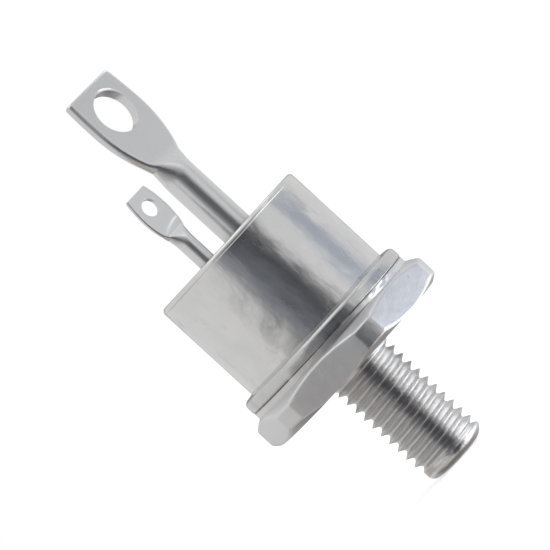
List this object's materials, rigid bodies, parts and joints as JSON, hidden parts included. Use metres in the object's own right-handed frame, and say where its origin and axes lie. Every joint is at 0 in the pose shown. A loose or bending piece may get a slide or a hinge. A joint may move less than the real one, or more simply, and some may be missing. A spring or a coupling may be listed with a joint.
{
  "type": "thyristor",
  "caption": "Stud-mounted thyristor: round sealed metal can on a hex base with a threaded stud, a large flattened cathode lug and a small gate lug on top.",
  "frame": {"origin": "centre of the hex base's seating face, where the stud leaves it", "axes": "+Z runs along the stud's axis towards the lugs. X is the line through both lugs, with the cathode lug on the +X side and the gate lug on the -X side. The faces of the cathode lug look along Y, square to two of the hex flats."},
  "size_m": [0.0192, 0.0174, 0.0415],
  "materials": {
    "plated_base": "dull bright plating over copper",
    "plated_steel": "dull bright plating over steel",
    "plated_can": "satin plating over drawn steel",
    "plated_lug": "satin plating over pressed tube",
    "seal_glass": "smooth fused glass, dark",
    "braze": "dull",
    "solder": "dull solder",
    "backing_metal": "ground molybdenum",
    "foil": "thin alloy foil",
    "silicon": "polished silicon",
    "coating": "cured silicone",
    "copper": "bare copper",
    "sleeve": "matt white tubing"
  },
  "bodies": {
    "root": {"stud_base": "plated_base", "ring_braze": "braze", "weld_ring": "plated_steel", "can": "plated_can", "cathode_glass": "seal_glass", "gate_glass": "seal_glass", "cathode_terminal": "plated_lug", "gate_terminal": "plated_lug", "base_solder": "solder", "lower_disc": "backing_metal", "bonding_foil": "foil", "pellet": "silicon", "junction_coating": "coating", "cathode_solder": "solder", "upper_disc": "backing_metal", "lead_solder": "solder", "cathode_lead": "copper", "gate_solder": "solder", "gate_lead": "copper", "gate_sleeve": "sleeve", "cathode_tube_solder": "solder", "gate_tube_solder": "solder"}
  },
  "joints": []
}
